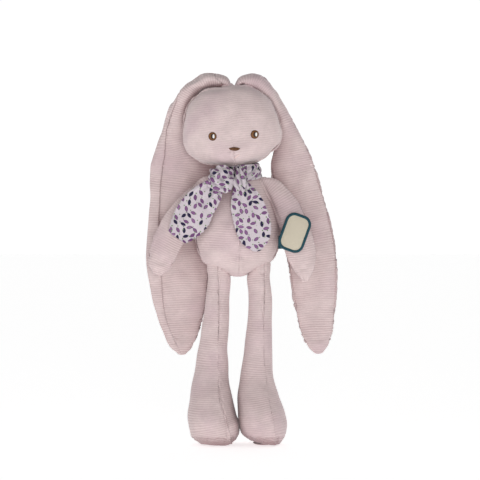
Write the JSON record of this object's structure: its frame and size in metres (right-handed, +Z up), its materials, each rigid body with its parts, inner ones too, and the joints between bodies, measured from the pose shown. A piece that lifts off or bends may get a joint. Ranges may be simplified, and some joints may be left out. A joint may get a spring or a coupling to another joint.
{
  "type": "stuffed rabbit doll",
  "caption": "Standing long-eared corduroy rabbit doll with stuffed head, torso, arms and legs, embroidered face, knotted print scarf and a side label.",
  "frame": {"origin": "centre of the doll's bounding box at the height of its soles", "axes": "+Z up through the head, -Y the way the doll faces, +X the doll's own left; left and right in names are the doll's own"},
  "size_m": [0.1293, 0.0545, 0.2513],
  "materials": {
    "corduroy": "dusty pale pink needlecord with fine ribs about 1.6 mm apart and a soft cut pile",
    "corduroy_sole": "the same needlecord, on the soles",
    "filling": "white polyester fibre filling, not seen",
    "scarf_cotton": "thin plain-weave cotton, pale lilac with a small leaf print in purple, navy and green",
    "brown_thread": "brown satin-stitch embroidery",
    "dark_thread": "dark brown satin-stitch embroidery",
    "white_thread": "white satin-stitch embroidery",
    "pink_thread": "pale pink stitched thread",
    "label_cloth": "plain cream woven label cloth",
    "label_edging": "dark teal overlocked edging"
  },
  "bodies": {
    "torso": {"torso_front_left_panel": "corduroy", "torso_front_right_panel": "corduroy", "torso_back_panel": "corduroy", "torso_filling": "filling", "scarf_neck_band": "scarf_cotton", "scarf_knot": "scarf_cotton"},
    "neck": {"neck_filling": "filling"},
    "head": {"head_face_panel": "corduroy", "head_back_panel": "corduroy", "head_filling": "filling", "eye_left_iris": "brown_thread", "eye_left_pupil": "dark_thread", "eye_left_highlight": "white_thread", "eye_right_iris": "brown_thread", "eye_right_pupil": "dark_thread", "eye_right_highlight": "white_thread", "nose_embroidery": "brown_thread", "mouth_stitch": "pink_thread", "ear_left_root": "corduroy", "ear_right_root": "corduroy"},
    "ear_left": {"ear_left_front_panel": "corduroy", "ear_left_back_panel": "corduroy", "ear_left_filling": "filling"},
    "ear_right": {"ear_right_front_panel": "corduroy", "ear_right_back_panel": "corduroy", "ear_right_filling": "filling"},
    "arm_left": {"arm_left_front_panel": "corduroy", "arm_left_back_panel": "corduroy", "arm_left_filling": "filling"},
    "arm_right": {"arm_right_front_panel": "corduroy", "arm_right_back_panel": "corduroy", "arm_right_filling": "filling"},
    "leg_left": {"leg_left_inner_panel": "corduroy", "leg_left_outer_panel": "corduroy", "leg_left_filling": "filling", "leg_left_sole": "corduroy_sole"},
    "leg_right": {"leg_right_inner_panel": "corduroy", "leg_right_outer_panel": "corduroy", "leg_right_filling": "filling", "leg_right_sole": "corduroy_sole"},
    "scarf_tail_left": {"scarf_tail_left": "scarf_cotton"},
    "scarf_tail_right": {"scarf_tail_right": "scarf_cotton"},
    "label": {"label_stem": "label_edging", "label_border": "label_edging", "label_face": "label_cloth"}
  },
  "joints": [
    {"name": "head_turn", "type": "hinge", "parent": "torso", "child": "neck", "pos_m": [-0.0045, 0.0016, 0.181], "axis": [0, 0, 1], "range_deg": [-10, 10]},
    {"name": "head_nod", "type": "hinge", "parent": "neck", "child": "head", "pos_m": [-0.0045, 0.0016, 0.186], "axis": [1, 0, 0], "range_deg": [-2, 16]},
    {"name": "ear_left_lift", "type": "hinge", "parent": "head", "child": "ear_left", "pos_m": [0.0218, 0.0121, 0.2424], "axis": [0, -1, 0], "range_deg": [0, 95]},
    {"name": "ear_right_lift", "type": "hinge", "parent": "head", "child": "ear_right", "pos_m": [-0.0346, 0.0106, 0.246], "axis": [0, 1, 0], "range_deg": [0, 95]},
    {"name": "arm_left_lift", "type": "hinge", "parent": "torso", "child": "arm_left", "pos_m": [0.0171, -0.0014, 0.1756], "axis": [0, -1, 0], "range_deg": [0, 95]},
    {"name": "arm_right_lift", "type": "hinge", "parent": "torso", "child": "arm_right", "pos_m": [-0.0251, -0.0014, 0.176], "axis": [0, 1, 0], "range_deg": [0, 85]},
    {"name": "leg_left_swing", "type": "hinge", "parent": "torso", "child": "leg_left", "pos_m": [0.0115, 0.0016, 0.11], "axis": [-1, 0, 0], "range_deg": [-5, 95]},
    {"name": "leg_right_swing", "type": "hinge", "parent": "torso", "child": "leg_right", "pos_m": [-0.0161, 0.0016, 0.11], "axis": [-1, 0, 0], "range_deg": [-5, 95]},
    {"name": "scarf_tail_left_lift", "type": "hinge", "parent": "torso", "child": "scarf_tail_left", "pos_m": [-0.0053, -0.0208, 0.1708], "axis": [-1, 0, 0], "range_deg": [0, 80]},
    {"name": "scarf_tail_right_lift", "type": "hinge", "parent": "torso", "child": "scarf_tail_right", "pos_m": [-0.0147, -0.019, 0.1714], "axis": [-1, 0, 0], "range_deg": [0, 80]},
    {"name": "label_flap", "type": "hinge", "parent": "torso", "child": "label", "pos_m": [0.0249, -0.0093, 0.137], "axis": [0, 0, -1], "range_deg": [0, 70]}
  ]
}
